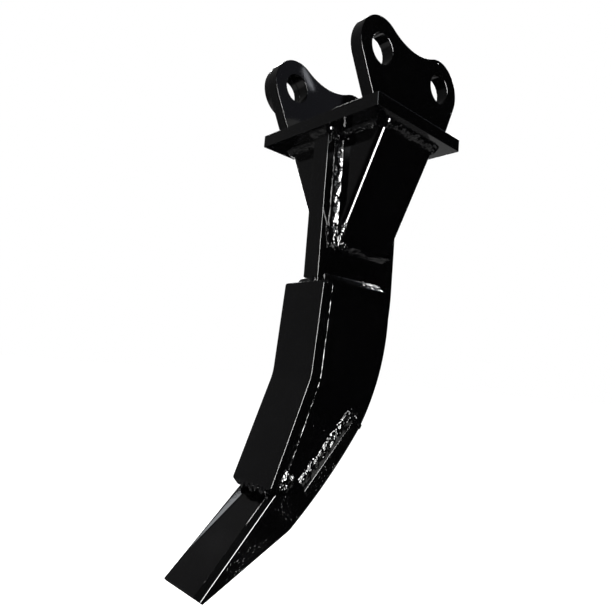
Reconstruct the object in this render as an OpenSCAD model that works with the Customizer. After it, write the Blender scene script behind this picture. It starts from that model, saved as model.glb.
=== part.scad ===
// Welded excavator ripper: a pin-on head, a plated shank and a weld-on tooth.
// Frame: origin on the front pin axis midway between the ears, X along the pins,
// -Y towards the digging side, Z up.

/* [Pin head] */
// Diameter of the two pin bores
pin_d = 40; // [30:1:50]
// Distance of the rear pin behind the front pin
pin_pitch = 124; // [110:1:140]
// How far the rear pin lies below the front pin
pin_drop = 2; // [0:0.5:8]
// Height of the front pin centre above the top plate
pin_h = 71.5; // [65:0.5:90]
// Distance of the front pin behind the top plate's front edge
pin_setback = 24; // [16:1:32]
// Clear gap between the ears, for the end of the digger's arm
ear_gap = 142; // [120:1:160]
// Thickness of each ear
ear_t = 18; // [12:1:20]
// Width of steel left round a bore in the ear's rounded head
ear_wall = 20.5; // [19:0.5:24]
// Radius of the dip along the ears' upper edge
ear_dip_r = 95; // [85:1:130]
// Distance of the ear's foot behind the top plate's front edge
ear_foot_setback = 15.5; // [10:0.5:22]
// Length of the ear's foot along the top plate
ear_foot_len = 148; // [130:1:150]
// Width of the collar round each bore of the left ear
collar_wall = 18; // [8:1:19]
// Thickness of the collars
collar_t = 12; // [5:1:16]

/* [Top plate] */
// Width of the top plate, along the pins
plate_w = 216; // [200:1:240]
// Depth of the top plate, front to rear
plate_d = 176; // [172:1:190]
// Thickness of the top plate
plate_t = 17; // [10:1:25]
// Radius of the top plate's corners
plate_corner_r = 1.5; // [1:0.5:8]

/* [Shank] */
// Thickness of the middle shank plate
shank_t = 27; // [24:1:30]
// Depth of the shank plate, front to rear
shank_d = 151; // [144:1:155]
// Distance of the shank's front edge behind the top plate's front edge
shank_setback = 14; // [11:0.5:17]
// Length of the shank's straight rear edge below the top plate
shank_straight = 196; // [185:1:202]
// Radius of the shank's curved rear edge
shank_heel_r = 290; // [285:1:330]
// Level of the tooth's seat below the top plate
seat_drop = 461; // [458:1:470]

/* [Cheek plates] */
// Thickness of each cheek plate
cheek_t = 21; // [14:1:23]
// Level of the cheek's top edge below the top plate
cheek_drop = 203; // [190:1:206]
// Depth of the cheek plate behind the shank's front edge
cheek_d = 122; // [112:1:130]
// Length of the cheek's straight rear edge
cheek_straight = 32; // [20:1:40]
// Radius of the cheek's curved rear edge
cheek_heel_r = 280; // [270:1:300]

/* [Shin plate] */
// Width of the wear plate on the shank's front
shin_w = 73; // [69:1:80]
// Thickness of the wear plate
shin_t = 10; // [6:1:16]
// Level of the wear plate's top end below the top plate
shin_drop = 206; // [204:1:214]
// Lean of the wear plate's upper leg from the vertical
shin_lean_top = 4.3; // [2:0.1:8]
// Lean of the wear plate's lower leg from the vertical
shin_lean_foot = 20.8; // [16:0.1:24]
// Length of the upper leg down to the bend
shin_leg_top = 111; // [100:1:120]
// Length of the lower leg from the bend to the tooth
shin_leg_foot = 130; // [125:1:132]
// Radius of the bend on its front face
shin_bend_r = 60; // [30:1:90]

/* [Gussets] */
// Distance of a gusset's front panel behind the top plate's front edge
gusset_setback = 36; // [30:1:40]
// Depth of the gusset, front to rear
gusset_d = 111; // [100:1:114]
// Distance of the side panel's upper edge from the middle of the part
gusset_reach = 89.5; // [70:0.5:95]
// Height of the gusset below the top plate
gusset_h = 150; // [130:1:165]
// Thickness of the folded gusset sheet
gusset_t = 6; // [4:0.5:7]
// Outer radius of the folds
gusset_fold_r = 9; // [8:0.5:16]

/* [Tooth] */
// Width of the tooth at its digging edge
tip_w = 74; // [70:1:80]
// Width of the tooth at its seat and along its strap
seat_w = 66; // [62:1:69]
// Length of the tooth's front face, from its seat to its edge
face_len = 131; // [115:0.5:140]
// Lean of the front face from the vertical
face_lean = 43.8; // [40:0.1:46]
// Step from the wear plate's rear face out to the front face
face_step = 1.5; // [1:0.5:6]
// Thickness left at the digging edge
edge_t = 9; // [6:0.5:11]
// Length of the underside, from the digging edge to the heel
under_len = 130; // [120:0.5:134]
// Rise of the underside from the horizontal
under_rise = 26.9; // [24:0.1:30]
// Length of the rear strap, from the heel to its upper end
strap_len = 157; // [140:1:165]
// Thickness of the rear strap
strap_t = 16; // [10:1:20]
// Rise of the rear strap from the horizontal
strap_rise = 46.5; // [45:0.1:49]
// Radius of the strap's bowed rear face
strap_bow_r = 700; // [400:10:900]
// Width of the sloped outer edge of each rib on the front face
rib_edge = 8; // [4:0.5:10]
// Depth of that sloped edge
rib_edge_depth = 4; // [1:0.5:5]
// Depth of the hollow between the ribs at the seat
hollow_depth = 6; // [3:0.5:9]
// Length of the hollow, where it runs out into the front face
hollow_len = 90; // [70:1:109]

/* [Welds] */
// Leg of the weld runs at the ears
ear_weld = 7; // [4:0.5:8]
// Leg of the weld runs at the gussets and below the top plate
gusset_weld = 8; // [5:0.5:8]
// Leg of the weld run along a cheek plate's top edge
cheek_top_weld = 13; // [8:0.5:14]
// Distance of that run's front end behind the shank's front edge
cheek_top_start = 14; // [5:1:20]
// Leg of the weld run down a cheek plate's rear edge
cheek_weld = 9; // [6:0.5:10]
// Width of the bevel weld between a cheek plate and the wear plate
shin_weld = 9; // [6:0.5:12]
// Width of the bevel weld between a cheek plate and the strap
strap_weld = 13; // [8:0.5:14]
// Depth of the bevel welds
bevel_depth = 8; // [5:0.5:10]
// Height of the crown on the bevel welds
weld_crown = 1.2; // [0.5:0.1:2]
// Part of the wear plate's top end left bare in front of its weld
shin_top_land = 1; // [0.5:0.5:3]
// Length of the cheek's rear weld below the straight edge, measured downwards
cheek_weld_run = 105; // [60:1:110]
// Thickness of the weld across the strap's upper end
strap_end_weld_t = 6; // [4:0.5:8]

/* [Hidden] */
$fn = 96;
paint = "#1d1e21";
bead = "#2b2c30";
// Longer than any cut through the part
far = 700;
// Thickness of the slabs that the weld hulls run between
slab = 0.2;

// Side-view points are [y, z] from the top plate's underside at its front edge.
pin_r = pin_d / 2;
head_r = pin_r + ear_wall;
front_pin = [pin_setback, plate_t + pin_h];
rear_pin = front_pin + [pin_pitch, -pin_drop];
foot_front = [ear_foot_setback, plate_t];
foot_rear = foot_front + [ear_foot_len, 0];
ear_inner = ear_gap / 2;

// Centre of the dip, which touches both rounded heads of the ear.
pin_span = norm(rear_pin - front_pin);
dip_rise = sqrt(pow(head_r + ear_dip_r, 2) - pow(pin_span / 2, 2));
dip_centre = (front_pin + rear_pin) / 2 + dip_rise * [pin_drop, pin_pitch] / pin_span;

shank_side = shank_t / 2;
shank_rear = shank_setback + shank_d;
cheek_side = shank_side + cheek_t;
cheek_rear = shank_setback + cheek_d;
shin_side = shin_w / 2;
tip_side = tip_w / 2;
seat_side = seat_w / 2;

// Unit steps down a leg that leans forward, and out of its rear face.
function down_leg(lean) = [-sin(lean), -cos(lean)];
function out_rear(lean) = [cos(lean), -sin(lean)];

// The wear plate's rear face: top end, bend start, bend centre, bend end and foot.
shin_rear_r = shin_bend_r + shin_t;
shin_top = [shank_setback, -shin_drop];
bend_start = shin_top + shin_leg_top * down_leg(shin_lean_top);
bend_centre = bend_start - shin_rear_r * out_rear(shin_lean_top);
bend_end = bend_centre + shin_rear_r * out_rear(shin_lean_foot);
shin_foot = bend_end + shin_leg_foot * down_leg(shin_lean_foot);
shin_foot_front = shin_foot - shin_t * out_rear(shin_lean_foot);

// The wear plate's rear face carried down to the tooth's seat.
seat_front = [bend_end[0] - (seat_drop + bend_end[1]) * tan(shin_lean_foot), -seat_drop];

// The tooth's outline, from its seat round the digging edge and heel to the strap's end.
face_top = seat_front - [face_step, 0];
edge_front = face_top + face_len * down_leg(face_lean);
edge_under = edge_front + edge_t * out_rear(face_lean);
heel = edge_under + under_len * [cos(under_rise), sin(under_rise)];
along_strap = [cos(strap_rise), sin(strap_rise)];
into_shank = [-sin(strap_rise), cos(strap_rise)];
strap_end = heel + strap_len * along_strap;
strap_bow_centre = heel + strap_len / 2 * along_strap
    + sqrt(pow(strap_bow_r, 2) - pow(strap_len / 2, 2)) * into_shank;
strap_inner = heel + strap_t * into_shank;
strap_seat_len = (-seat_drop - strap_inner[1]) / along_strap[1];
strap_seat = strap_inner + strap_seat_len * along_strap;

gusset_lean = atan((gusset_reach - shank_side - gusset_t) / gusset_h);

// Where a line from p touches the circle of radius r round c, on the turn side.
function touch(p, c, r, turn) =
    let (a = atan2(p[1] - c[1], p[0] - c[0]) + turn * acos(r / norm(p - c)))
    c + r * [cos(a), sin(a)];

// Moves a piece from the top plate's front edge to the frame's origin on the front pin.
module placed(tint) {
    color(tint) translate([0, -front_pin[0], -front_pin[1]]) children();
}

// Extrudes a side-view outline across the part from x0.
module across(x0, thickness) {
    translate([x0, 0, 0]) rotate([90, 0, 90]) linear_extrude(thickness) children();
}

// Section of a fillet weld with a crowned face, in the first quadrant.
module fillet_section(leg) {
    back = leg / 2;
    intersection() {
        square(leg);
        translate([-back, -back]) circle(norm([leg + back, back]));
    }
}

module top_plate() {
    placed(paint) translate([-plate_w / 2, 0, 0]) linear_extrude(plate_t) {
        translate([plate_corner_r, 0]) square([plate_w - 2 * plate_corner_r, plate_d]);
        translate([0, plate_corner_r]) square([plate_w, plate_d - 2 * plate_corner_r]);
        for (x = [plate_corner_r, plate_w - plate_corner_r], y = [plate_corner_r, plate_d - plate_corner_r])
            translate([x, y]) circle(plate_corner_r);
    }
}

module ear_outline() {
    dip_front = front_pin + head_r * (dip_centre - front_pin) / norm(dip_centre - front_pin);
    dip_rear = rear_pin + head_r * (dip_centre - rear_pin) / norm(dip_centre - rear_pin);
    difference() {
        union() {
            polygon([foot_front, foot_rear, touch(foot_rear, rear_pin, head_r, 1), rear_pin,
                     dip_rear, dip_front, front_pin, touch(foot_front, front_pin, head_r, -1)]);
            translate(front_pin) circle(head_r);
            translate(rear_pin) circle(head_r);
        }
        translate(dip_centre) circle(ear_dip_r);
        translate(front_pin) circle(pin_r);
        translate(rear_pin) circle(pin_r);
    }
}

module ear_blank() {
    across(ear_inner, ear_t) ear_outline();
}

// The weld all round an ear's foot.
module ear_weld_run() {
    difference() {
        hull() {
            translate([ear_inner - ear_weld, foot_front[0] - ear_weld, plate_t])
                cube([ear_t + 2 * ear_weld, ear_foot_len + 2 * ear_weld, slab]);
            translate([ear_inner, foot_front[0], plate_t]) cube([ear_t, ear_foot_len, ear_weld]);
        }
        ear_blank();
        translate([ear_inner, foot_front[0], plate_t - 1]) cube([ear_t, ear_foot_len, ear_weld + 2]);
    }
}

module right_ear() { placed(paint) ear_blank(); }
module left_ear() { placed(paint) mirror([1, 0, 0]) ear_blank(); }
module right_ear_weld() { placed(bead) ear_weld_run(); }
module left_ear_weld() { placed(bead) mirror([1, 0, 0]) ear_weld_run(); }

module pin_collar(pin) {
    placed(paint) across(-ear_inner - ear_t - collar_t, collar_t) translate(pin) difference() {
        circle(pin_r + collar_wall);
        circle(pin_r);
    }
}

module front_pin_collar() { pin_collar(front_pin); }
module rear_pin_collar() { pin_collar(rear_pin); }

// Side view of a plate of the shank: its front follows the wear plate's rear face,
// its rear runs straight and then round the heel, and the tooth's strap lies in its notch.
module shank_outline(top_z, rear_y, curve_z, heel_r) {
    notch_end = strap_inner + (strap_len + strap_end_weld_t) * along_strap;
    difference() {
        polygon([[shank_setback, top_z], [rear_y, top_z], [rear_y, -seat_drop], seat_front,
                 bend_end, bend_start, shin_top]);
        translate(bend_centre) circle(shin_rear_r);
        difference() {
            translate([rear_y - heel_r, -far]) square([far, far + curve_z]);
            translate([rear_y - heel_r, curve_z]) circle(heel_r, $fn = 240);
        }
        polygon([strap_inner - far * along_strap, notch_end, notch_end - far * into_shank,
                 strap_inner - far * along_strap - far * into_shank]);
    }
}

module shank() {
    placed(paint) across(-shank_side, shank_t)
        shank_outline(0, shank_rear, -shank_straight, shank_heel_r);
}

// Section of a bevel weld on the cheek, as [x, distance from the joint].
function bevel_fill(joint_x, width) =
    [[cheek_side - bevel_depth, 0], [joint_x, 0], [cheek_side + weld_crown, width / 2], [cheek_side, width]];

// Section of its groove, cut past both faces of the cheek.
function bevel_groove(width) =
    let (past = 0.25, outer_x = cheek_side + past * bevel_depth)
    [[cheek_side - (1 + past) * bevel_depth, -past * width],
     [outer_x, -past * width],
     [outer_x, (1 + past) * width]];

// A bevel weld's section or groove, run down the wear plate's rear edge.
module shin_bevel(section) {
    bend = shin_lean_foot - shin_lean_top;
    run_out = shin_weld * tan(shin_lean_foot);
    lower = shin_foot - run_out * down_leg(shin_lean_foot);
    translate([0, bend_start[0], bend_start[1]]) rotate([-shin_lean_top, 0, 0])
        linear_extrude(shin_leg_top) polygon(section);
    translate([0, bend_centre[0], bend_centre[1]]) rotate([90, 0, 90]) rotate([0, 0, -shin_lean_foot])
        rotate_extrude(angle = bend) polygon([for (p = section) [shin_rear_r + p[1], p[0]]]);
    translate([0, lower[0], lower[1]]) rotate([-shin_lean_foot, 0, 0])
        linear_extrude(shin_leg_foot - run_out) polygon(section);
}

// A bevel weld's section or groove, run along the strap's inner face.
module strap_bevel(section) {
    translate([0, strap_seat[0], strap_seat[1]]) rotate([strap_rise - 90, 0, 0])
        linear_extrude(strap_len - strap_seat_len) polygon([for (p = section) [p[0], -p[1]]]);
}

module cheek_blank() {
    difference() {
        across(shank_side, cheek_t)
            shank_outline(-cheek_drop, cheek_rear, -cheek_drop - cheek_straight, cheek_heel_r);
        shin_bevel(bevel_groove(shin_weld));
        strap_bevel(bevel_groove(strap_weld));
    }
}

module right_cheek() { placed(paint) cheek_blank(); }
module left_cheek() { placed(paint) mirror([1, 0, 0]) cheek_blank(); }

module shin_weld_run() { shin_bevel(bevel_fill(shin_side, shin_weld)); }
module strap_weld_run() { strap_bevel(bevel_fill(seat_side, strap_weld)); }

module right_shin_weld() { placed(bead) shin_weld_run(); }
module left_shin_weld() { placed(bead) mirror([1, 0, 0]) shin_weld_run(); }
module right_strap_weld() { placed(bead) strap_weld_run(); }
module left_strap_weld() { placed(bead) mirror([1, 0, 0]) strap_weld_run(); }

// The weld along a cheek's top edge, against the side of the shank.
module cheek_top_run() {
    translate([shank_side, cheek_rear, -cheek_drop]) rotate([90, 0, 0])
        linear_extrude(cheek_d - cheek_top_start) fillet_section(cheek_top_weld);
}

// The weld down a cheek's rear edge, until the shank's own edge comes near.
module cheek_rear_run() {
    curve_z = -cheek_drop - cheek_straight;
    sweep = asin(cheek_weld_run / cheek_heel_r);
    translate([shank_side, cheek_rear, curve_z]) linear_extrude(cheek_straight) fillet_section(cheek_weld);
    translate([0, cheek_rear - cheek_heel_r, curve_z]) rotate([90, 0, 90]) mirror([0, 1, 0])
        rotate_extrude(angle = sweep, $fn = 240)
            translate([cheek_heel_r, shank_side]) fillet_section(cheek_weld);
}

module right_cheek_top_weld() { placed(bead) cheek_top_run(); }
module left_cheek_top_weld() { placed(bead) mirror([1, 0, 0]) cheek_top_run(); }
module right_cheek_rear_weld() { placed(bead) cheek_rear_run(); }
module left_cheek_rear_weld() { placed(bead) mirror([1, 0, 0]) cheek_rear_run(); }

// The wear plate, bent once.
module shin_plate() {
    half_bend = (shin_lean_foot - shin_lean_top) / 2;
    corner = bend_start + shin_rear_r * tan(half_bend) * down_leg(shin_lean_top);
    placed(paint) across(-shin_side, shin_w) difference() {
        polygon([shin_top, corner, shin_foot, shin_foot_front,
                 bend_end - shin_t * out_rear(shin_lean_foot),
                 bend_start - shin_t * out_rear(shin_lean_top),
                 shin_top - shin_t * out_rear(shin_lean_top)]);
        translate(bend_centre) circle(shin_bend_r);
        difference() {
            polygon([bend_start, corner, bend_end]);
            translate(bend_centre) circle(shin_rear_r);
        }
    }
}

// The short weld across the wear plate's top end, against the shank's front edge.
module shin_top_weld() {
    leg = shin_t - shin_top_land;
    placed(bead) across(-shank_side, shank_t) translate(shin_top) intersection() {
        polygon([[0, 0], [0, leg], [-leg, leg], -leg * out_rear(shin_lean_top)]);
        translate([leg / 2, -leg / 2]) circle(norm([leg * 3 / 2, leg / 2]));
    }
}

// The tooth's side view, with the strap's bowed rear face.
module tooth_outline() {
    polygon([face_top, edge_front, edge_under, heel, strap_end,
             strap_inner + strap_len * along_strap, strap_seat]);
    intersection() {
        polygon([heel, heel - strap_t * into_shank, strap_end - strap_t * into_shank, strap_end]);
        translate(strap_bow_centre) circle(strap_bow_r, $fn = 360);
    }
}

// Places a cutter at the top of the front face, with Z up the face and Y into it.
module at_face() {
    translate([0, face_top[0], face_top[1]]) rotate([-face_lean, 0, 0]) children();
}

// Places a cutter at the face's top corner, with Z up the tooth's flared side.
module at_rib() {
    flare = atan((tip_side - seat_side) / face_len);
    at_face() translate([seat_side, 0, 0]) rotate([0, -flare, 0]) children();
}

// What lies beside the tooth, which flares from its seat to its digging edge.
module beside_tooth() {
    past_tip = 2 * face_len;
    at_face() translate([0, far, 0]) rotate([90, 0, 0]) linear_extrude(2 * far)
        polygon([[seat_side, far], [seat_side, 0], [2 * tip_side - seat_side, -past_tip],
                 [far, -past_tip], [far, far]]);
}

// The sloped outer edge of a rib.
module rib_slope() {
    at_rib() translate([0, 0, -far]) linear_extrude(2 * far)
        polygon([[-rib_edge, 0], [rib_edge, -rib_edge], [rib_edge, 2 * rib_edge_depth]]);
}

// The space from a rib's inner slope to the far side, down to the hollow's depth.
module inside_rib() {
    at_rib() translate([0, 0, -far]) linear_extrude(2 * far)
        polygon([[-far, -hollow_depth], [hollow_depth - rib_edge, -hollow_depth],
                 [-rib_edge - hollow_depth, hollow_depth], [-far, hollow_depth]]);
}

// The hollow between the two ribs of the front face, cut down to a floor that rises to the edge.
module tooth_hollow() {
    floor_lean = atan(hollow_depth / hollow_len);
    difference() {
        intersection() {
            inside_rib();
            mirror([1, 0, 0]) inside_rib();
        }
        at_face() translate([-far, hollow_depth, 0]) rotate([-floor_lean, 0, 0]) translate([0, 0, -far])
            cube([2 * far, far, 2 * far]);
    }
}

module tooth() {
    placed(paint) difference() {
        across(-tip_side, tip_w) tooth_outline();
        tooth_hollow();
        for (side = [0, 1]) mirror([side, 0, 0]) {
            beside_tooth();
            rib_slope();
        }
    }
}

// The weld that joins the wear plate's foot to the tooth's front.
module tooth_front_weld() {
    crown = [shin_foot_front[0] + weld_crown, face_top[1] + weld_crown];
    placed(bead) across(-seat_side, seat_w)
        polygon([shin_foot_front, crown, face_top, seat_front, shin_foot]);
}

// The weld across the upper end of the strap, in the notch of the shank's three plates.
module strap_end_weld() {
    low = strap_inner + strap_len * along_strap;
    placed(bead) across(-cheek_side, 2 * cheek_side) translate(low) rotate(strap_rise)
        intersection() {
            translate([0, -strap_t]) square([strap_end_weld_t, strap_t]);
            circle(strap_t);
        }
}

// A gusset's plan at its upper edge, cut down by an inset; its side panel's outer face is x = 0.
module gusset_plan(inset) {
    r = gusset_fold_r - inset;
    for (y = [gusset_fold_r, gusset_d - gusset_fold_r])
        translate([-gusset_fold_r, gusset_setback + y]) circle(r);
    translate([-far, gusset_setback + inset]) square([far - gusset_fold_r, gusset_d - 2 * inset]);
    translate([-far, gusset_setback + gusset_fold_r]) square([far - inset, gusset_d - 2 * gusset_fold_r]);
}

// The leaning prism that a gusset is cut from.
module gusset_prism(inset) {
    translate([gusset_reach, 0, 0]) rotate([0, gusset_lean, 0])
        translate([0, 0, -far]) linear_extrude(2 * far) gusset_plan(inset);
}

// The space beside the shank between two levels.
module beside_shank(top_z, foot_z) {
    translate([shank_side, -far, foot_z]) cube([far, 2 * far, top_z - foot_z]);
}

// A gusset folded from one sheet: front panel, leaning side panel and rear panel.
module gusset_blank() {
    intersection() {
        difference() {
            gusset_prism(0);
            gusset_prism(gusset_t);
        }
        beside_shank(0, -gusset_h);
    }
}

// The gusset's outline on the level z, grown by a margin.
module gusset_level(z, margin) {
    side = gusset_reach + z * tan(gusset_lean);
    translate([0, 0, z]) linear_extrude(slab) {
        for (y = [gusset_fold_r, gusset_d - gusset_fold_r])
            translate([side - gusset_fold_r, gusset_setback + y]) circle(gusset_fold_r + margin, $fn = 32);
        translate([0, gusset_setback - margin]) square([shank_side, gusset_d + 2 * margin]);
    }
}

// The weld round a gusset's upper edge, below the top plate.
module gusset_top_run() {
    intersection() {
        difference() {
            hull() {
                gusset_level(-slab, gusset_weld);
                gusset_level(-gusset_weld, 0);
            }
            gusset_prism(0);
        }
        beside_shank(0, -gusset_weld);
    }
}

// The gusset's outline in the upright plane at x, grown by a margin.
module gusset_upright(x, margin) {
    fold_h = gusset_fold_r / sin(gusset_lean);
    foot = -(gusset_reach - x) / tan(gusset_lean);
    across(x, slab) intersection() {
        hull() {
            for (y = [gusset_fold_r, gusset_d - gusset_fold_r])
                translate([gusset_setback + y, foot + fold_h])
                    scale([(gusset_fold_r + margin) / gusset_fold_r, (fold_h + margin) / gusset_fold_r])
                    circle(gusset_fold_r, $fn = 32);
            translate([gusset_setback - margin, -gusset_weld]) square([gusset_d + 2 * margin, gusset_weld]);
        }
        translate([0, -gusset_h - margin]) square([plate_d, gusset_h + margin]);
    }
}

// The weld down a gusset's front, along its foot and up its rear, on the side of the shank.
module gusset_side_run() {
    intersection() {
        difference() {
            hull() {
                gusset_upright(shank_side, gusset_weld);
                gusset_upright(shank_side + gusset_weld, 0);
            }
            intersection() {
                gusset_prism(0);
                beside_shank(0, -gusset_h);
            }
        }
        beside_shank(-gusset_weld, -gusset_h - gusset_weld);
    }
}

module right_gusset() { placed(paint) gusset_blank(); }
module left_gusset() { placed(paint) mirror([1, 0, 0]) gusset_blank(); }
module right_gusset_top_weld() { placed(bead) gusset_top_run(); }
module left_gusset_top_weld() { placed(bead) mirror([1, 0, 0]) gusset_top_run(); }
module right_gusset_side_weld() { placed(bead) gusset_side_run(); }
module left_gusset_side_weld() { placed(bead) mirror([1, 0, 0]) gusset_side_run(); }

// The welds round the shank's front and rear edges, below the top plate.
module shank_top_welds() {
    gap = gusset_d + 2 * gusset_weld;
    placed(bead) difference() {
        hull() {
            translate([-shank_side - gusset_weld, shank_setback - gusset_weld, -slab])
                cube([shank_t + 2 * gusset_weld, shank_d + 2 * gusset_weld, slab]);
            translate([-shank_side, shank_setback, -gusset_weld]) cube([shank_t, shank_d, gusset_weld]);
        }
        translate([-shank_side, shank_setback, -far]) cube([shank_t, shank_d, 2 * far]);
        translate([-far, gusset_setback - gusset_weld, -far]) cube([2 * far, gap, 2 * far]);
    }
}

top_plate();
left_ear();
right_ear();
front_pin_collar();
rear_pin_collar();
shank();
left_gusset();
right_gusset();
left_cheek();
right_cheek();
shin_plate();
tooth();
left_ear_weld();
right_ear_weld();
shank_top_welds();
left_gusset_top_weld();
right_gusset_top_weld();
left_gusset_side_weld();
right_gusset_side_weld();
left_cheek_top_weld();
right_cheek_top_weld();
left_cheek_rear_weld();
right_cheek_rear_weld();
left_shin_weld();
right_shin_weld();
shin_top_weld();
tooth_front_weld();
left_strap_weld();
right_strap_weld();
strap_end_weld();
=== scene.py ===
"""Dresses the excavator ripper: plates with softened edges, rippled weld beads and a rough cast tooth."""

import math
import random

import bmesh
import bpy
from mathutils import Matrix, Vector, noise


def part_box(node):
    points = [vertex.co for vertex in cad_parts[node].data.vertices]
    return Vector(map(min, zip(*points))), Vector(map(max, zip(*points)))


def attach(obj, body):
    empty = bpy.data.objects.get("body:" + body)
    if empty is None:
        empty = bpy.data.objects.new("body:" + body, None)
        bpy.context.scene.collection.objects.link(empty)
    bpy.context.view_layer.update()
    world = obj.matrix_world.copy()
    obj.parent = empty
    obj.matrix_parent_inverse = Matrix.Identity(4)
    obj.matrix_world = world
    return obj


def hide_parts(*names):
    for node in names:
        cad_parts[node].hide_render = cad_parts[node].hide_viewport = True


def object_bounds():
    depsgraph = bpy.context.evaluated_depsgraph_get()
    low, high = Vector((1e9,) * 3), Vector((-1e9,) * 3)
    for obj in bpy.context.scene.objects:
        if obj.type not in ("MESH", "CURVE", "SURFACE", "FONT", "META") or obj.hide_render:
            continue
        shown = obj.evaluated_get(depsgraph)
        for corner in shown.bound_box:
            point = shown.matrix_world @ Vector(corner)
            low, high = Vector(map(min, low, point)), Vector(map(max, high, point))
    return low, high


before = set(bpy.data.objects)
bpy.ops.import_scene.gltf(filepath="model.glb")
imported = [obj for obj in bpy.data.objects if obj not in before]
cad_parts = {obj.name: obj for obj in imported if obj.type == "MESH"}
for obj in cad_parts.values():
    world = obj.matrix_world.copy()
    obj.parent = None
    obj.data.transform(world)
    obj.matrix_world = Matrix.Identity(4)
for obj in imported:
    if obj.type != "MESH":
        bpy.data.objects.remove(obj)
cad_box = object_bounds()

MM = 0.001
ALONG_X = Vector((1, 0, 0))
ALONG_Y = Vector((0, 1, 0))
ALONG_Z = Vector((0, 0, 1))
TO_LEFT = Vector((-1, 1, 1))
scene = bpy.context.scene

# Sizes of the ripper that its boxes don't give.
GUSSET_T = 6 * MM
GUSSET_FOLD_R = 9 * MM
CHEEK_HEEL_R = 280 * MM
CHEEK_STRAIGHT = 32 * MM
SHIN_LEAN_TOP = math.radians(4.3)
SHIN_LEAN_FOOT = math.radians(20.8)
SHIN_LEG_TOP = 111 * MM
SHIN_LEG_FOOT = 130 * MM
SHIN_T = 10 * MM
SHIN_REAR_R = 70 * MM
SHIN_TOP_LAND = 1 * MM
SHIN_WELD_W = 9 * MM
STRAP_RISE = math.radians(46.5)
STRAP_T = 16 * MM
STRAP_WELD_W = 13 * MM
STRAP_END_WELD_T = 6 * MM
BEVEL_DEPTH = 8 * MM
FACE_STEP = 1.5 * MM

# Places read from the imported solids.
gusset_lo, gusset_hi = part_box("right_gusset")
shin_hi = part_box("shin_plate")[1]
tooth_lo, tooth_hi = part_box("tooth")
front_weld_lo, front_weld_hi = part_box("tooth_front_weld")
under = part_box("top_plate")[0].z
shank_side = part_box("shank")[1].x
cheek_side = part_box("right_cheek")[1].x
shin_side = shin_hi.x
seat_side = front_weld_hi.x


# Points on the side view, as (y, z).

def down_leg(lean):
    return Vector((0, -math.sin(lean), -math.cos(lean)))


def out_rear(lean):
    return Vector((0, math.cos(lean), -math.sin(lean)))


top_weld_lo, top_weld_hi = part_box("shank_top_welds")
top_weld_leg = top_weld_hi.z - top_weld_lo.z
shank_front = top_weld_lo.y + top_weld_leg
shank_rear = top_weld_hi.y - top_weld_leg
shin_top = Vector((0, shank_front, shin_hi.z - SHIN_T * math.sin(SHIN_LEAN_TOP)))
bend_start = shin_top + SHIN_LEG_TOP * down_leg(SHIN_LEAN_TOP)
bend_centre = bend_start - SHIN_REAR_R * out_rear(SHIN_LEAN_TOP)
bend_end = bend_centre + SHIN_REAR_R * out_rear(SHIN_LEAN_FOOT)
shin_foot = bend_end + SHIN_LEG_FOOT * down_leg(SHIN_LEAN_FOOT)
seat_z = front_weld_lo.z
seat_front = bend_end + (bend_end.z - seat_z) / math.cos(SHIN_LEAN_FOOT) * down_leg(SHIN_LEAN_FOOT)
face_top = seat_front - FACE_STEP * ALONG_Y
along_strap = Vector((0, math.cos(STRAP_RISE), math.sin(STRAP_RISE)))
into_shank = Vector((0, -math.sin(STRAP_RISE), math.cos(STRAP_RISE)))
strap_end = Vector((0, tooth_hi.y, tooth_hi.z)) - STRAP_T * Vector((0, 0, math.cos(STRAP_RISE)))
strap_inner_end = strap_end + STRAP_T * into_shank
strap_seat = strap_inner_end - (strap_inner_end.z - seat_z) / along_strap.z * along_strap


# Weld beads.

BEAD_STEP = 0.9 * MM
BEAD_ACROSS = 12
BEAD_END = 4 * MM
BEAD_SMOOTH = math.radians(75)
TOE_WANDER = 0.5 * MM
PASS_HUMP = 0.8 * MM


def fillet(root, toward_a, toward_b, leg):
    """One station of a fillet weld in the corner at root: the root and its two toes.

    A fill between two walls has a second root after them, at the foot of the second wall.
    """
    return root, root + leg * toward_a, root + leg * toward_b


def straight(start, end, toward_a, toward_b, leg):
    """The two end stations of a straight fillet weld."""
    return [fillet(start, toward_a, toward_b, leg), fillet(end, toward_a, toward_b, leg)]


def station_mid(station):
    return (station[1] + station[2]) / 2


def resample(stations, closed):
    """Stations about one step apart, and the run's length at each of them."""
    ring = stations + stations[:1] if closed else stations
    rows = []
    lengths = []
    run = 0.0
    for a, b in zip(ring, ring[1:]):
        span = (station_mid(b) - station_mid(a)).length
        count = max(1, round(span / BEAD_STEP))
        for k in range(count):
            share = k / count
            rows.append([p.lerp(q, share) for p, q in zip(a, b)])
            lengths.append(run + span * share)
        run += span
    if not closed:
        rows.append(list(ring[-1]))
        lengths.append(run)
    return rows, lengths, run


def bead_height(u):
    """Height of a bead's crown across its width, from toe to toe."""
    return 4 * u * (1 - u)


def add_lump(bm, centre, radii, seed):
    """Adds an uneven drop of weld metal to a mesh."""
    made = bmesh.ops.create_icosphere(bm, subdivisions=4, radius=1.0)
    shift = Vector((7.3 * seed, 3.9 * seed, 1.7 * seed))
    for vert in made["verts"]:
        way = vert.co.copy()
        swell = 1 + 0.35 * noise.noise(1.6 * way + shift) + 0.12 * noise.noise(4.5 * way + shift)
        vert.co = centre + Vector([swell * r * w for r, w in zip(radii, way)])


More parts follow.
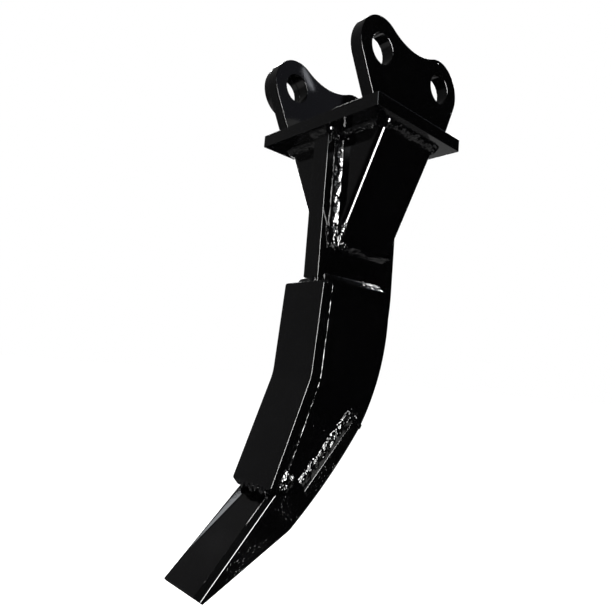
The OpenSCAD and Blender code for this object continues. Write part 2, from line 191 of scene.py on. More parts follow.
def bead(name, node, stations, crown, pitch=3.2 * MM, ripple=0.5 * MM, lumps=0.9 * MM, lump_len=6 * MM,
         passes=1, ridges=(), drops=(), across=BEAD_ACROSS, closed=False, seed=0):
    """A painted weld bead: scalloped ripples and lumps on a crown that is swept along its stations.

    Ridges are (place across, half width, height), and drops are (centre, radii) of loose lumps.
    """
    rows, lengths, total = resample(stations, closed)
    draw = random.Random(seed)
    shift = Vector((draw.uniform(0, 50), draw.uniform(0, 50), draw.uniform(0, 50)))
    bm = bmesh.new()
    rings = []
    for (root, toe_a, toe_b, *root_b), s in zip(rows, lengths):
        out = (toe_a + toe_b) / 2 - (root + root_b[0] if root_b else 2 * root) / 2
        width = (toe_b - toe_a).length
        out = out.normalized() if out.length > 1e-6 else ALONG_X
        end = 1.0 if closed else min(1.0, s / BEAD_END, (total - s) / BEAD_END)
        rise = math.sqrt(max(0.0, 1 - (1 - end) ** 2))
        wander = TOE_WANDER * noise.noise(Vector((s / (6 * MM), 3.1, 7.7)) + shift)
        ring = []
        for j in range(across + 1):
            u = j / across
            arch = bead_height(u)
            drift = 0.3 * noise.noise(Vector((s / (14 * MM), 11.3, 2.9)) + shift)
            lane = min(passes - 1, max(0, math.floor(passes * u + drift)))
            local = passes * u + drift - lane if passes > 1 else u
            hump = max(0.0, bead_height(local)) if passes > 1 else arch
            phase = (s - 0.45 * width / passes * hump) / pitch + 0.37 * lane
            phase += 0.5 * noise.noise(Vector((s / (9 * MM), 4.1 * lane, 0)) + shift)
            scallop = abs(math.sin(math.pi * phase)) - 0.6
            lump = noise.noise(Vector((s / lump_len, u * width / (0.8 * lump_len), 1.7)) + shift)
            grain = noise.noise(Vector((s / (2.2 * MM), u * width / (2 * MM), 5.3)) + shift)
            lift = (crown + lumps * lump + 0.35 * lumps * grain) * arch
            lift += ripple * scallop * hump ** 0.5 * min(1.0, 3 * arch)
            if passes > 1:
                lift += PASS_HUMP * (hump - 0.5) * min(1.0, 2 * arch)
            lift += sum(height * math.exp(-((u - mid) / half) ** 2) for mid, half, height in ridges)
            place = toe_a.lerp(toe_b, u) + out * lift * rise
            place += (toe_b - toe_a).normalized() * wander * (2 * u - 1)
            ring.append(bm.verts.new(place))
        ring += [bm.verts.new(place) for place in (*root_b, root)]
        rings.append(ring)
    pairs = list(zip(rings, rings[1:] + rings[:1])) if closed else list(zip(rings, rings[1:]))
    for ring, after in pairs:
        for j in range(len(ring)):
            k = (j + 1) % len(ring)
            bm.faces.new((ring[j], ring[k], after[k], after[j]))
    if not closed:
        bm.faces.new(rings[0])
        bm.faces.new(rings[-1])
    for number, (centre, radii) in enumerate(drops):
        add_lump(bm, centre, radii, seed + 0.37 * number)
    return finish_piece(name, node, bm, weld_paint, BEAD_SMOOTH)


def finish_piece(name, node, bm, material, smooth_angle):
    """Makes an object of the mesh, in the place of its solid."""
    bmesh.ops.recalc_face_normals(bm, faces=bm.faces)
    mesh = bpy.data.meshes.new(name)
    bm.to_mesh(mesh)
    bm.free()
    mesh.shade_smooth()
    mesh.set_sharp_from_angle(angle=smooth_angle)
    mesh.materials.append(material)
    piece = bpy.data.objects.new(name, mesh)
    scene.collection.objects.link(piece)
    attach(piece, "root")
    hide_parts(node)
    return piece


def mirrored(stations):
    """The same stations on the left side."""
    return [[p * TO_LEFT for p in station] for station in stations]


# Materials.

def shader_group(name, inputs, outputs):
    """An empty shader node group with named sockets, and its input and output nodes."""
    tree = bpy.data.node_groups.new(name, "ShaderNodeTree")
    for label, value in inputs:
        socket = tree.interface.new_socket(name=label, in_out="INPUT", socket_type="NodeSocketFloat")
        socket.default_value = value
    for label in outputs:
        tree.interface.new_socket(name=label, in_out="OUTPUT", socket_type="NodeSocketFloat")
    return tree, tree.nodes.new("NodeGroupInput"), tree.nodes.new("NodeGroupOutput")


def math_node(tree, operation, a, b):
    """A math node on two values or sockets."""
    node = tree.nodes.new("ShaderNodeMath")
    node.operation = operation
    for socket, value in zip(node.inputs, (a, b)):
        if isinstance(value, (int, float)):
            socket.default_value = value
        else:
            tree.links.new(value, socket)
    return node.outputs[0]


def noise_node(tree, place, scale, detail=2.0, roughness=0.5):
    """Noise over the piece, with its scale as a value or a socket."""
    node = tree.nodes.new("ShaderNodeTexNoise")
    node.inputs["Detail"].default_value = detail
    node.inputs["Roughness"].default_value = roughness
    tree.links.new(place, node.inputs["Vector"])
    if isinstance(scale, (int, float)):
        node.inputs["Scale"].default_value = scale
    else:
        tree.links.new(scale, node.inputs["Scale"])
    return node.outputs["Fac"]


def step_node(tree, value, low, high):
    """A soft step from 0 at low to 1 at high."""
    node = tree.nodes.new("ShaderNodeMapRange")
    node.interpolation_type = "SMOOTHSTEP"
    tree.links.new(value, node.inputs["Value"])
    for label, bound in (("From Min", low), ("From Max", high)):
        if isinstance(bound, (int, float)):
            node.inputs[label].default_value = bound
        else:
            tree.links.new(bound, node.inputs[label])
    return node.outputs["Result"]


def flank_mask(tree):
    """One on what faces left or right, none elsewhere."""
    facing = tree.nodes.new("ShaderNodeSeparateXYZ")
    tree.links.new(tree.nodes.new("ShaderNodeNewGeometry").outputs["True Normal"], facing.inputs[0])
    return step_node(tree, math_node(tree, "MULTIPLY", facing.outputs["X"], facing.outputs["X"]), 0.4, 0.8)


def paint_skin_group():
    """The skin of sprayed enamel: fine orange peel over slow sags, with a few nibs of dirt under it."""
    sizes = [("Peel Scale", 350.0), ("Sag Scale", 40.0), ("Sag", 1.0), ("Nibs", 4.0), ("Grit", 0.76)]
    tree, given, out = shader_group("paint_skin", sizes, ["Height"])
    place = tree.nodes.new("ShaderNodeTexCoord").outputs["Object"]
    peel = noise_node(tree, place, given.outputs["Peel Scale"], detail=1.0)
    sag = noise_node(tree, place, given.outputs["Sag Scale"], detail=1.0)
    slow = math_node(tree, "MULTIPLY", sag, given.outputs["Sag"])
    coarse = math_node(tree, "ADD", given.outputs["Grit"], 0.12)
    grit = step_node(tree, noise_node(tree, place, 520.0, detail=0.0), given.outputs["Grit"], coarse)
    field = step_node(tree, noise_node(tree, place, 25.0, detail=1.0), 0.45, 0.62)
    field = math_node(tree, "MULTIPLY", field, flank_mask(tree))
    nibs = math_node(tree, "MULTIPLY", math_node(tree, "MULTIPLY", grit, field), given.outputs["Nibs"])
    tree.links.new(math_node(tree, "ADD", math_node(tree, "ADD", peel, slow), nibs), out.inputs["Height"])
    return tree


def dust_film_group():
    """Thin dust that lies in patches, more on what faces up."""
    tree, given, out = shader_group("dust_film", [("Patch Scale", 14.0), ("Amount", 0.3)], ["Mask"])
    place = tree.nodes.new("ShaderNodeTexCoord").outputs["Object"]
    cloud = noise_node(tree, place, given.outputs["Patch Scale"], detail=6.0, roughness=0.62)
    patches = step_node(tree, cloud, 0.45, 0.75)
    facing = tree.nodes.new("ShaderNodeSeparateXYZ")
    tree.links.new(tree.nodes.new("ShaderNodeNewGeometry").outputs["Normal"], facing.inputs[0])
    upward = step_node(tree, facing.outputs["Z"], -0.6, 1.2)
    spread = math_node(tree, "MULTIPLY", patches, math_node(tree, "ADD", upward, 0.25))
    tree.links.new(math_node(tree, "MULTIPLY", spread, given.outputs["Amount"]), out.inputs["Mask"])
    return tree


def scuff_group():
    """Small rubbed spots, on what faces left or right."""
    tree, given, out = shader_group("scuffs", [("Spot Scale", 45.0), ("Cover", 0.63)], ["Mask"])
    place = tree.nodes.new("ShaderNodeTexCoord").outputs["Object"]
    spots = noise_node(tree, place, given.outputs["Spot Scale"], detail=8.0, roughness=0.7)
    edge = math_node(tree, "ADD", given.outputs["Cover"], 0.05)
    rubbed = step_node(tree, spots, given.outputs["Cover"], edge)
    tree.links.new(math_node(tree, "MULTIPLY", rubbed, flank_mask(tree)), out.inputs["Mask"])
    return tree


paint_skin = paint_skin_group()
dust_film = dust_film_group()
scuffs = scuff_group()


def place_group(tree, group, **values):
    """A group in a material, with its own values."""
    node = tree.nodes.new("ShaderNodeGroup")
    node.node_tree = group
    for label, value in values.items():
        node.inputs[label.replace("_", " ")].default_value = value
    return node


def colour_mix(tree, mask, low, high):
    """A colour that goes from low to high with the mask."""
    node = tree.nodes.new("ShaderNodeMix")
    node.data_type = "RGBA"
    tree.links.new(mask, node.inputs["Factor"])
    for label, colour in (("A", low), ("B", high)):
        socket = [s for s in node.inputs if s.name == label and s.type == "RGBA"][0]
        if isinstance(colour, tuple):
            socket.default_value = (*colour, 1)
        else:
            tree.links.new(colour, socket)
    return [s for s in node.outputs if s.type == "RGBA"][0]


DUST = (0.020, 0.020, 0.021)


PAINT_BLACK = (0.0020, 0.0020, 0.0023)
WORN_ROUGHNESS = 0.25


def black_paint(name, roughness, skin_sizes, skin_depth, dust, scuff_cover, scuff_colour):
    """Black enamel with orange peel, dust and scuffs."""
    material = bpy.data.materials.new(name)
    material.use_nodes = True
    tree = material.node_tree
    shader = tree.nodes["Principled BSDF"]
    skin = place_group(tree, paint_skin, **skin_sizes)
    film = place_group(tree, dust_film, Amount=dust)
    rub = place_group(tree, scuffs, Cover=scuff_cover)
    dusty = colour_mix(tree, film.outputs["Mask"], PAINT_BLACK, DUST)
    tree.links.new(colour_mix(tree, rub.outputs["Mask"], dusty, scuff_colour), shader.inputs["Base Color"])
    worn = math_node(tree, "ADD", film.outputs["Mask"], rub.outputs["Mask"])
    rougher = math_node(tree, "MULTIPLY", worn, WORN_ROUGHNESS)
    tree.links.new(math_node(tree, "ADD", rougher, roughness), shader.inputs["Roughness"])
    bump = tree.nodes.new("ShaderNodeBump")
    bump.inputs["Strength"].default_value = 1.0
    bump.inputs["Distance"].default_value = skin_depth
    tree.links.new(skin.outputs["Height"], bump.inputs["Height"])
    tree.links.new(bump.outputs["Normal"], shader.inputs["Normal"])
    return material


plate_paint = black_paint(
    "gloss_black_plate", 0.07, dict(Peel_Scale=420.0, Sag_Scale=30.0, Sag=1.5, Nibs=4.0, Grit=0.78),
    skin_depth=0.03 * MM, dust=0.12, scuff_cover=0.72, scuff_colour=(0.012, 0.012, 0.013))
weld_paint = black_paint(
    "painted_weld", 0.08, dict(Peel_Scale=500.0, Sag_Scale=160.0, Sag=1.2, Nibs=3.0, Grit=0.76),
    skin_depth=0.06 * MM, dust=0.08, scuff_cover=0.74, scuff_colour=(0.012, 0.012, 0.013))
tooth_paint = black_paint(
    "black_cast_tooth", 0.10, dict(Peel_Scale=300.0, Sag_Scale=120.0, Sag=1.5, Nibs=8.0, Grit=0.73),
    skin_depth=0.05 * MM, dust=0.20, scuff_cover=0.645, scuff_colour=(0.07, 0.07, 0.073))


# Plates and tooth: the solids with softened edges.

MERGE_GAP = 0.02 * MM
SAME_LENGTH = 0.1 * MM
FLAT_ANGLE = math.radians(0.4)
SHARP_ANGLE = math.radians(28)
SHIN_CORNER_R = 3.5 * MM
TIP_WEAR = 2.5 * MM
TIP_REACH = 25 * MM
CREST_LEFT_R = 4.0 * MM
CREST_RIGHT_R = 0.8 * MM
CREST_LEN = 40 * MM
CREST_ANGLES = (66, 77)


def round_corners(bm, thickness, radius):
    """Rounds the corners of a plate: the edges that run through its thickness, across the part's sides."""
    through = []
    for edge in bm.edges:
        aside = abs(edge.verts[0].co.x - edge.verts[1].co.x)
        if abs(edge.calc_length() - thickness) < SAME_LENGTH and aside < SAME_LENGTH:
            through.append(edge)
    bmesh.ops.bevel(bm, geom=through, offset=radius, segments=6, profile=0.5, affect="EDGES")


def wear_tip(bm, length):
    """Takes the digging edge back along the tooth's face by a little wear."""
    back = (face_top - Vector((0, tooth_lo.y, tooth_lo.z))).normalized()
    for vert in bm.verts:
        if vert.co.z < tooth_lo.z + TIP_REACH and vert.co.y < tooth_lo.y + TIP_REACH:
            vert.co += length * Vector((0, back.y, back.z))


def round_crests(bm, left, right):
    """Rounds the crests of the tooth's ribs, where the outer slope meets the hollow's side."""
    for side, radius in ((-1, left), (1, right)):
        crests = []
        for edge in bm.edges:
            on_side = side * (edge.verts[0].co.x + edge.verts[1].co.x) > 0
            if on_side and edge.is_manifold and edge.calc_length() > CREST_LEN:
                if CREST_ANGLES[0] < math.degrees(edge.calc_face_angle()) < CREST_ANGLES[1]:
                    crests.append(edge)
        bmesh.ops.bevel(bm, geom=crests, offset=radius, segments=4, profile=0.5, affect="EDGES")


def softened(node, material, radius, segments=3):
    """A copy of a solid whose sharp edges are rounded."""
    bm = bmesh.new()
    bm.from_mesh(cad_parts[node].data)
    bmesh.ops.remove_doubles(bm, verts=bm.verts, dist=MERGE_GAP)
    bmesh.ops.dissolve_limit(bm, angle_limit=FLAT_ANGLE, verts=bm.verts, edges=bm.edges)
    if node == "shin_plate":
        round_corners(bm, SHIN_T, SHIN_CORNER_R)
    if node == "tooth":
        wear_tip(bm, TIP_WEAR)
        round_crests(bm, CREST_LEFT_R, CREST_RIGHT_R)
    piece = finish_piece(node + "_soft", node, bm, material, smooth_angle=math.radians(180))
    bevel = piece.modifiers.new("edges", "BEVEL")
    bevel.limit_method = "ANGLE"
    bevel.angle_limit = SHARP_ANGLE
    bevel.width = radius
    bevel.segments = segments
    bevel.use_clamp_overlap = node not in ("top_plate", "tooth")
    shading = piece.modifiers.new("flat_faces", "WEIGHTED_NORMAL")
    shading.mode = "FACE_AREA"
    shading.weight = 100
    shading.keep_sharp = True
    return piece


PLATES = {
    "top_plate": 0.8 * MM, "left_ear": 0.8 * MM, "right_ear": 0.8 * MM,
    "front_pin_collar": 1.0 * MM, "rear_pin_collar": 1.0 * MM,
    "shank": 0.8 * MM, "left_gusset": 0.6 * MM, "right_gusset": 0.6 * MM,
    "left_cheek": 0.8 * MM, "right_cheek": 0.8 * MM, "shin_plate": 0.9 * MM,
}
for node, radius in PLATES.items():
    softened(node, plate_paint, radius)
softened("tooth", tooth_paint, 0.8 * MM)


# Weld runs.

def corner_turn(root, first, second, up, leg, count=6):
    """Stations that turn round a sharp corner from one wall to the next."""
    turned = []
    for k in range(count + 1):
        share = k / count * math.pi / 2
        turned.append(fillet(root, math.cos(share) * first + math.sin(share) * second, up, leg))
    return turned


def ear_weld_stations():
    lo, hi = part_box("right_ear_weld")
    leg = hi.z - lo.z
    x0, x1, y0, y1 = lo.x + leg, hi.x - leg, lo.y + leg, hi.y - leg
    corners = [Vector((x0, y0, lo.z)), Vector((x1, y0, lo.z)), Vector((x1, y1, lo.z)), Vector((x0, y1, lo.z))]
    walls = [-ALONG_Y, ALONG_X, ALONG_Y, -ALONG_X]
    stations = []
    for k, corner in enumerate(corners):
        stations += corner_turn(corner, walls[k - 1], walls[k], ALONG_Z, leg)
    return stations


def shank_top_stations(front):
    """The weld round the shank's front or rear edge, up to the gussets."""
    leg = top_weld_leg
    edge = shank_front if front else shank_rear
    stop = gusset_lo.y - leg if front else gusset_hi.y + leg
    facing = -ALONG_Y if front else ALONG_Y
    right = Vector((shank_side, edge, under))
    left = Vector((-shank_side, edge, under))
    stations = [fillet(Vector((shank_side, stop, under)), ALONG_X, -ALONG_Z, leg)]
    stations += corner_turn(right, ALONG_X, facing, -ALONG_Z, leg)
    stations += corner_turn(left, facing, -ALONG_X, -ALONG_Z, leg)
    stations.append(fillet(Vector((-shank_side, stop, under)), -ALONG_X, -ALONG_Z, leg))
    return stations


gusset_lean = math.atan((gusset_hi.x - shank_side - GUSSET_T) / (gusset_hi.z - gusset_lo.z))
GUSSET_WELD = top_weld_leg
FOLD_STEPS = 10


def fold_point(turn, rear):
    """A point of a fold on its section: reach back from the side panel, and place front to rear."""
    back = GUSSET_FOLD_R * (math.cos(turn) - 1)
    across = GUSSET_FOLD_R * (1 - math.sin(turn))
    return back, gusset_hi.y - across if rear else gusset_lo.y + across


def fold_normal(turn, rear):
    side = math.cos(turn)
    ends = math.sin(turn) * (1 if rear else -1)
    return Vector((side * math.cos(gusset_lean), ends, -side * math.sin(gusset_lean)))


def gusset_top_stations():
    """The weld round the gusset's upper edge: along its front panel, round both folds and back."""
    leg = GUSSET_WELD
    down_side = Vector((-math.sin(gusset_lean), 0, -math.cos(gusset_lean)))
    stations = [fillet(Vector((shank_side, gusset_lo.y, under)), -ALONG_Y, -ALONG_Z, leg)]
    for rear in (False, True):
        for k in range(FOLD_STEPS + 1):
            turn = math.pi / 2 * (k if rear else FOLD_STEPS - k) / FOLD_STEPS
            back, y = fold_point(turn, rear)
            outward = Vector((math.cos(turn), math.sin(turn) * (1 if rear else -1), 0))
            wall = (math.cos(turn) * down_side - math.sin(turn) * ALONG_Z).normalized()
            root = Vector((gusset_hi.x + back / math.cos(gusset_lean), y, under))
            stations.append(fillet(root, outward, wall, leg))
    stations.append(fillet(Vector((shank_side, gusset_hi.y, under)), ALONG_Y, -ALONG_Z, leg))
    return stations


def gusset_side_stations():
    """The weld on the shank's side: down the gusset's front, along its foot and up its rear."""
    leg = GUSSET_WELD
    apex = -(gusset_hi.x - shank_side) / math.tan(gusset_lean)
    cut = gusset_lo.z - under
    cut_turn = math.acos(1 + (apex - cut) * math.sin(gusset_lean) / GUSSET_FOLD_R)

    def on_fold(turn, rear):
        back, y = fold_point(turn, rear)
        normal = fold_normal(turn, rear)
        root = Vector((shank_side, y, under + apex - back / math.sin(gusset_lean)))
        away = Vector((0, normal.y, normal.z)).normalized()
        wall = (ALONG_X - ALONG_X.dot(normal) * normal).normalized()
        return fillet(root, away, wall, leg)

    turns = [math.pi / 2 + (cut_turn - math.pi / 2) * k / FOLD_STEPS for k in range(FOLD_STEPS + 1)]
    start = Vector((shank_side, gusset_lo.y, under - leg))
    end = Vector((shank_side, gusset_hi.y, under - leg))
    stations = [fillet(start, -ALONG_Y, ALONG_X, leg)]
    stations += [on_fold(turn, False) for turn in turns]
    foot_front, foot_rear = stations[-1][0].copy(), on_fold(turns[-1], True)[0]
    inset = (foot_rear - foot_front) * 0.06
    stations.append(fillet(foot_front + inset, -ALONG_Z, ALONG_X, leg))
    stations.append(fillet(foot_rear - inset, -ALONG_Z, ALONG_X, leg))
    stations += [on_fold(turn, True) for turn in reversed(turns)]
    stations.append(fillet(end, ALONG_Y, ALONG_X, leg))
    return stations


def cheek_top_stations():
    lo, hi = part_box("right_cheek_top_weld")
    leg = hi.z - lo.z
    return straight(Vector((lo.x, lo.y, lo.z)), Vector((lo.x, hi.y, lo.z)), ALONG_Z, ALONG_X, leg)


def cheek_rear_stations():
    """Down the cheek's rear edge: straight, then round the heel until the shank's edge comes near."""
    lo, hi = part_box("right_cheek_rear_weld")
    leg = hi.x - lo.x
    rear = hi.y - leg
    heel_z = hi.z - CHEEK_STRAIGHT
    stations = [fillet(Vector((lo.x, rear, hi.z)), ALONG_Y, ALONG_X, leg)]
    sweep = math.asin((heel_z - lo.z) / CHEEK_HEEL_R)
    steps = 24
    for k in range(steps + 1):
        turn = sweep * k / steps
        outward = Vector((0, math.cos(turn), -math.sin(turn)))
        root = Vector((lo.x, rear - CHEEK_HEEL_R, heel_z)) + CHEEK_HEEL_R * outward
        stations.append(fillet(root, outward, ALONG_X, leg))
    return stations


def shin_line(steps=8):
    """Points down the wear plate's rear face, each with its lean."""
    line = [(shin_top, SHIN_LEAN_TOP)]
    for k in range(steps + 1):
        lean = SHIN_LEAN_TOP + (SHIN_LEAN_FOOT - SHIN_LEAN_TOP) * k / steps
        line.append((bend_centre + SHIN_REAR_R * out_rear(lean), lean))
    short = SHIN_WELD_W * math.tan(SHIN_LEAN_FOOT)
    line.append((shin_foot - short * down_leg(SHIN_LEAN_FOOT), SHIN_LEAN_FOOT))
    return line


def shin_weld_stations():
    stations = []
    for place, lean in shin_line():
        root = place + (cheek_side - BEVEL_DEPTH) * ALONG_X
        toe_a = place + shin_side * ALONG_X
        toe_b = place + cheek_side * ALONG_X + SHIN_WELD_W * out_rear(lean)
        stations.append((root, toe_a, toe_b))
    return stations


STRAP_BEAD_W = 1.55 * STRAP_WELD_W


def strap_weld_stations():
    """Along the strap's inner edge, then round its upper end; broader than the groove below it."""
    stations = []
    for place in (strap_seat, strap_inner_end):
        root = place + (cheek_side - BEVEL_DEPTH) * ALONG_X
        toe_a = place + seat_side * ALONG_X
        toe_b = place + cheek_side * ALONG_X + STRAP_BEAD_W * into_shank
        stations.append((root, toe_a, toe_b))
    for k in range(1, 9):
        turn = math.radians(14 * k)
        aside = math.cos(turn) * into_shank + math.sin(turn) * along_strap
        reach = STRAP_BEAD_W + (0.55 * STRAP_WELD_W - STRAP_BEAD_W) * min(1, k / 6)
        root = strap_inner_end + (cheek_side - BEVEL_DEPTH) * ALONG_X
        toe_a = strap_inner_end + seat_side * ALONG_X
        toe_b = strap_inner_end + cheek_side * ALONG_X + reach * aside
        stations.append((root, toe_a, toe_b))
    return stations


def strap_end_stations():
    """Across the strap's upper end, in the notch of the plates."""
    outer = math.sqrt(STRAP_T ** 2 - STRAP_END_WELD_T ** 2)
    stations = []
    for x in (-cheek_side, cheek_side):
        root = strap_inner_end + x * ALONG_X
        root_b = root + STRAP_END_WELD_T * along_strap
        stations.append((root, root - STRAP_T * into_shank, root_b - outer * into_shank, root_b))
    return stations


def shin_top_stations():
    """Across the wear plate's top end, against the shank's front edge."""
    leg = SHIN_T - SHIN_TOP_LAND
    return straight(shin_top - shank_side * ALONG_X, shin_top + shank_side * ALONG_X,
                    ALONG_Z, -out_rear(SHIN_LEAN_TOP), leg)


def tooth_front_stations():
    """Across the wear plate's foot, down to the tooth's front."""
    front = shin_foot - SHIN_T * out_rear(SHIN_LEAN_FOOT)
    stations = []
    for x in (-seat_side, seat_side):
        stations.append((shin_foot + x * ALONG_X, front + x * ALONG_X, face_top + x * ALONG_X))
    return stations


def drops_at(place, rows):
    """Drops round a place, from rows of three offsets and three radii in mm."""
    return [(place + Vector(row[:3]) * MM, [r * MM for r in row[3:]]) for row in rows]


fold_end = Vector((shank_side + 5 * MM, gusset_lo.y + 3 * MM, gusset_lo.z + 8 * MM))
shin_end = shin_foot + cheek_side * ALONG_X + 0.4 * SHIN_WELD_W * ALONG_Y
shin_corner = shin_top + shank_side * ALONG_X
foot_edge = shin_foot - 0.8 * SHIN_T * out_rear(SHIN_LEAN_FOOT)
FOLD_DROPS = drops_at(fold_end, (
    (0, 0, 0, 7, 6, 13), (-1, -4, 2, 4, 5, 9), (2, 6, -7, 6, 8, 5), (1, 1, 12, 6, 5, 9),
    (3, 12, -8, 4, 6, 4), (5, 2, 9, 6, 6, 8), (8, 3, 16, 5, 5.5, 6)))
SHIN_DROPS = drops_at(shin_end, (
    (0, 10, 14, 3.6, 8, 7), (0, 15, 8, 3.2, 7, 6), (0, 6, 7, 3, 5, 5), (1, 11, 20, 3, 5, 6),
    (1, 18, 14, 3, 4, 5), (1, 10, 3, 3, 5, 4)))
SHIN_DROPS += drops_at(shin_corner, ((3, 8, 1, 4.5, 6, 4.5),))
CORNER_DROPS = drops_at(shin_corner, ((-4, -4, 4, 5, 4, 3.5),))
FOOT_DROPS = drops_at(foot_edge, (
    (-23, 0, -1, 5, 3.5, 3.5), (-14, 0, -2, 6, 3.5, 5), (-5, 0, -1, 5, 3.5, 3.5),
    (3, 0, -2.5, 5.5, 3.5, 5.5), (12, 0, -1.5, 6, 3.5, 4), (22, 0, -2, 6, 3.5, 5)))
SIDE_RUNS = {
    "ear_weld": (ear_weld_stations(), dict(crown=1.0 * MM, closed=True)),
    "gusset_top_weld": (gusset_top_stations(), dict(crown=1.2 * MM, lumps=1.4 * MM)),
    "gusset_side_weld": (gusset_side_stations(), dict(
        crown=1.2 * MM, ripple=0.3 * MM, lumps=1.6 * MM, lump_len=9 * MM, drops=FOLD_DROPS)),
    "cheek_top_weld": (cheek_top_stations(), dict(
        crown=0.2 * MM, ripple=0.15 * MM, lumps=0.3 * MM, across=24, ridges=[(0.14, 0.07, 0.7 * MM)])),
    "cheek_rear_weld": (cheek_rear_stations(), dict(crown=1.2 * MM)),
    "shin_weld": (shin_weld_stations(), dict(
        crown=0.6 * MM, ripple=0.1 * MM, lumps=0.7 * MM, across=24, ridges=[(0.86, 0.07, 0.95 * MM)],
        drops=SHIN_DROPS)),
    "strap_weld": (strap_weld_stations(), dict(
        crown=3.2 * MM, pitch=5 * MM, ripple=0.7 * MM, lumps=3.6 * MM, lump_len=8 * MM, passes=2, across=26)),
}
for number, (run, (stations, form)) in enumerate(SIDE_RUNS.items()):
    left_form = {**form, "drops": [(centre * TO_LEFT, radii) for centre, radii in form.get("drops", ())]}
    bead("right_" + run + "_bead", "right_" + run, stations, seed=2 * number, **form)
    bead("left_" + run + "_bead", "left_" + run, mirrored(stations), seed=2 * number + 1, **left_form)
bead("shin_top_weld_bead", "shin_top_weld", shin_top_stations(), crown=1.0 * MM, lumps=1.2 * MM,
     drops=CORNER_DROPS, seed=40)
bead("tooth_front_weld_bead", "tooth_front_weld", tooth_front_stations(), crown=1.0 * MM, pitch=6 * MM,
     ripple=0.6 * MM, lumps=2.0 * MM, drops=FOOT_DROPS, seed=41)
bead("strap_end_weld_bead", "strap_end_weld", strap_end_stations(), crown=1.0 * MM, seed=42)


def joined(name, pieces):
    """One piece made of several that stand for the same node."""
    bm = bmesh.new()
    for piece in pieces:
        bm.from_mesh(piece.data)
        bpy.data.objects.remove(piece)
    return finish_piece(name, "shank_top_welds", bm, weld_paint, BEAD_SMOOTH)


joined("shank_top_welds_bead", [
    bead("shank_front_weld_run", "shank_top_welds", shank_top_stations(True), crown=1.2 * MM, seed=43),
    bead("shank_rear_weld_run", "shank_top_welds", shank_top_stations(False), crown=1.2 * MM, seed=44)])


# Studio: a pale floor, a white surround, dark cards for the gloss to show and soft lamps.

CENTRE = (cad_box[0] + cad_box[1]) / 2
FLOOR_Z = cad_box[0].z - 0.35
FLOOR_R = 30
FLOOR_GLOW = 0.88
WORLD_FILL = 0.25
TENT_R = 1.6
TENT_CLEAR = 0.01


def light_path_mask(tree):
    """1 for what the camera sees, straight, in gloss or through glass, and 0 for the rest."""
    path = tree.nodes.new("ShaderNodeLightPath")
    seen = math_node(tree, "MAXIMUM", path.outputs["Is Camera Ray"], path.outputs["Is Glossy Ray"])
    return math_node(tree, "MAXIMUM", seen, path.outputs["Is Transmission Ray"])


def make_world():
    world = bpy.data.worlds.new("studio")
    scene.world = world
    world.use_nodes = True
    tree = world.node_tree
    white = tree.nodes["Background"]
    white.inputs["Color"].default_value = (1, 1, 1, 1)
    white.inputs["Strength"].default_value = 1.0
    fill = tree.nodes.new("ShaderNodeBackground")
    fill.inputs["Color"].default_value = (1, 1, 1, 1)
    fill.inputs["Strength"].default_value = WORLD_FILL
    mix = tree.nodes.new("ShaderNodeMixShader")
    tree.links.new(light_path_mask(tree), mix.inputs["Fac"])
    tree.links.new(fill.outputs[0], mix.inputs[1])
    tree.links.new(white.outputs[0], mix.inputs[2])
    tree.links.new(mix.outputs[0], tree.nodes["World Output"].inputs["Surface"])


def make_floor():
    bm = bmesh.new()
    bmesh.ops.create_circle(bm, cap_ends=True, segments=96, radius=FLOOR_R)
    bmesh.ops.translate(bm, verts=bm.verts, vec=Vector((CENTRE.x, CENTRE.y, FLOOR_Z)))
    mesh = bpy.data.meshes.new("floor")
    bm.to_mesh(mesh)
    bm.free()
    floor = bpy.data.objects.new("floor", mesh)
    scene.collection.objects.link(floor)
    material = bpy.data.materials.new("pale_floor")
    material.use_nodes = True
    tree = material.node_tree
    shader = tree.nodes["Principled BSDF"]
    shader.inputs["Base Color"].default_value = (0.8, 0.8, 0.8, 1)
    shader.inputs["Roughness"].default_value = 0.9
    shader.inputs["Specular IOR Level"].default_value = 0.0
    shader.inputs["Emission Color"].default_value = (1, 1, 1, 1)
    glow = math_node(tree, "MULTIPLY", light_path_mask(tree), FLOOR_GLOW)
    tree.links.new(glow, shader.inputs["Emission Strength"])
    mesh.materials.append(material)


# Soft patches of the cards that the gloss shows: direction, full and outer angle in degrees, colour.
CARD_GREY = 0.004
CARD_PATCHES = [
    ((-0.75, -0.60, 0.25), 30, 75, (0.11, 0.11, 0.112)),
    ((-0.73, 0.02, 0.68), 12, 40, (0.13, 0.13, 0.13)),
    ((-0.40, 0.88, -0.26), 8, 18, (0.33, 0.33, 0.33)),
    ((0.20, 0.80, -0.57), 8, 18, (0.40, 0.40, 0.40)),
    ((-0.68, -0.465, -0.567), 12, 28, (0.32, 0.32, 0.32)),
    ((-0.08, 0.745, 0.662), 12, 24, (0.36, 0.38, 0.43)),
]


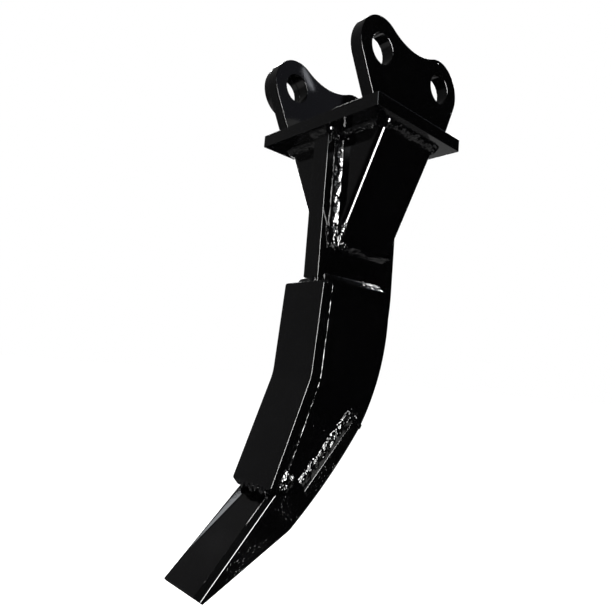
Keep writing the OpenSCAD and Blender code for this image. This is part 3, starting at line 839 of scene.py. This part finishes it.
def make_cards():
    """A tent of dark cards round the part, which only gloss sees, with soft lighter patches."""
    bm = bmesh.new()
    bmesh.ops.create_uvsphere(bm, u_segments=64, v_segments=32, radius=TENT_R)
    floor_clear = FLOOR_Z + TENT_CLEAR - CENTRE.z
    for vert in bm.verts:
        vert.co.z = max(vert.co.z, floor_clear)
        vert.co += CENTRE
    bmesh.ops.reverse_faces(bm, faces=bm.faces)
    mesh = bpy.data.meshes.new("cards")
    bm.to_mesh(mesh)
    bm.free()
    tent = bpy.data.objects.new("cards", mesh)
    scene.collection.objects.link(tent)
    material = bpy.data.materials.new("dark_cards")
    material.use_nodes = True
    tree = material.node_tree
    tree.nodes.remove(tree.nodes["Principled BSDF"])
    place = tree.nodes.new("ShaderNodeNewGeometry").outputs["Position"]
    offset = tree.nodes.new("ShaderNodeVectorMath")
    offset.operation = "SUBTRACT"
    tree.links.new(place, offset.inputs[0])
    offset.inputs[1].default_value = CENTRE
    unit = tree.nodes.new("ShaderNodeVectorMath")
    unit.operation = "NORMALIZE"
    tree.links.new(offset.outputs[0], unit.inputs[0])
    colour = (CARD_GREY, CARD_GREY, CARD_GREY)
    for direction, full, outer, patch in CARD_PATCHES:
        dot = tree.nodes.new("ShaderNodeVectorMath")
        dot.operation = "DOT_PRODUCT"
        tree.links.new(unit.outputs[0], dot.inputs[0])
        dot.inputs[1].default_value = Vector(direction).normalized()
        low, high = (math.cos(math.radians(angle)) for angle in (outer, full))
        mask = step_node(tree, dot.outputs["Value"], low, high)
        colour = colour_mix(tree, mask, colour, patch)
    glow = tree.nodes.new("ShaderNodeEmission")
    tree.links.new(colour, glow.inputs["Color"])
    tree.links.new(glow.outputs[0], tree.nodes["Material Output"].inputs["Surface"])
    mesh.materials.append(material)
    tent.visible_camera = False
    tent.visible_diffuse = False
    tent.visible_transmission = False
    tent.visible_shadow = False


def ear_lamp(name, place, facing, size, radiance, colour, roll=0.0):
    """A small oval lamp above the ears, which only gloss sees."""
    data = bpy.data.lights.new(name, "AREA")
    data.shape = "ELLIPSE"
    data.size, data.size_y = size
    data.energy = radiance * math.pi * math.pi * size[0] * size[1] / 4
    data.color = colour
    light = bpy.data.objects.new(name, data)
    scene.collection.objects.link(light)
    turn = Vector(facing).to_track_quat("-Z", "Y").to_matrix().to_4x4()
    rolled = turn @ Matrix.Rotation(math.radians(roll), 4, "Z")
    light.matrix_world = Matrix.Translation(Vector(place)) @ rolled
    light.visible_camera = False
    light.visible_diffuse = False


def lamp(name, direction, distance, size, watts, colour=(1, 1, 1), gloss=True, matte=True):
    """A soft rectangular lamp that looks at the part's middle, and lights gloss, matte colour or both."""
    data = bpy.data.lights.new(name, "AREA")
    data.shape = "RECTANGLE"
    data.size, data.size_y = size
    data.energy = watts
    data.color = colour
    lamp_object = bpy.data.objects.new(name, data)
    toward = Vector(direction).normalized()
    lamp_object.location = CENTRE + distance * toward
    lamp_object.rotation_mode = "QUATERNION"
    lamp_object.rotation_quaternion = toward.to_track_quat("Z", "Y")
    lamp_object.visible_camera = False
    lamp_object.visible_glossy = gloss
    lamp_object.visible_diffuse = matte
    scene.collection.objects.link(lamp_object)


make_world()
make_floor()
make_cards()
ear_lamp("ear_glow", (0.085, 0.125, 0.135), (-1, 0, 0), (0.24, 0.20), 0.15, (0.80, 0.82, 1.0))
ear_lamp("ear_streak", (0.042, 0.116, 0.104), (-0.67, -0.57, -0.48), (0.007, 0.044), 3.2, (0.90, 0.93, 1.0),
         roll=32)
lamp("overhead_softbox", (0.0, -0.1, 1.0), 2.4, (2.0, 2.0), 60, gloss=False)
lamp("right_strip", (0.99, -0.09, 0.02), 1.15, (0.50, 1.30), 110, matte=False)
lamp("upper_softbox", (0.614, -0.56, 0.556), 1.465, (0.55, 0.26), 2.6, (0.92, 0.96, 1.0), matte=False)
lamp("edge_lamp", (0.06, 0.742, 0.668), 1.3, (0.12, 0.12), 2, matte=False)
lamp("rear_softbox", (-0.6, 0.6, 0.55), 1.3, (0.9, 0.9), 20)


# Camera, at the photograph's viewing angle.

CAMERA_PLACE = Vector((0.52358, -0.49125, -0.40352))
CAMERA_RIGHT = Vector((0.68068, 0.72816, 0.08036))
CAMERA_UP = Vector((0.02486, -0.13260, 0.99086))
CAMERA_BACK = Vector((0.73216, -0.67246, -0.10836))
LENS = 32.43


def make_camera():
    data = bpy.data.cameras.new("camera")
    data.sensor_width = 36
    data.lens = LENS
    data.clip_start = 0.01
    data.clip_end = 100
    camera = bpy.data.objects.new("camera", data)
    scene.collection.objects.link(camera)
    turn = Matrix((CAMERA_RIGHT, CAMERA_UP, CAMERA_BACK)).transposed().to_4x4()
    camera.matrix_world = Matrix.Translation(CAMERA_PLACE) @ turn
    scene.camera = camera


make_camera()
scene.view_settings.view_transform = "Standard"
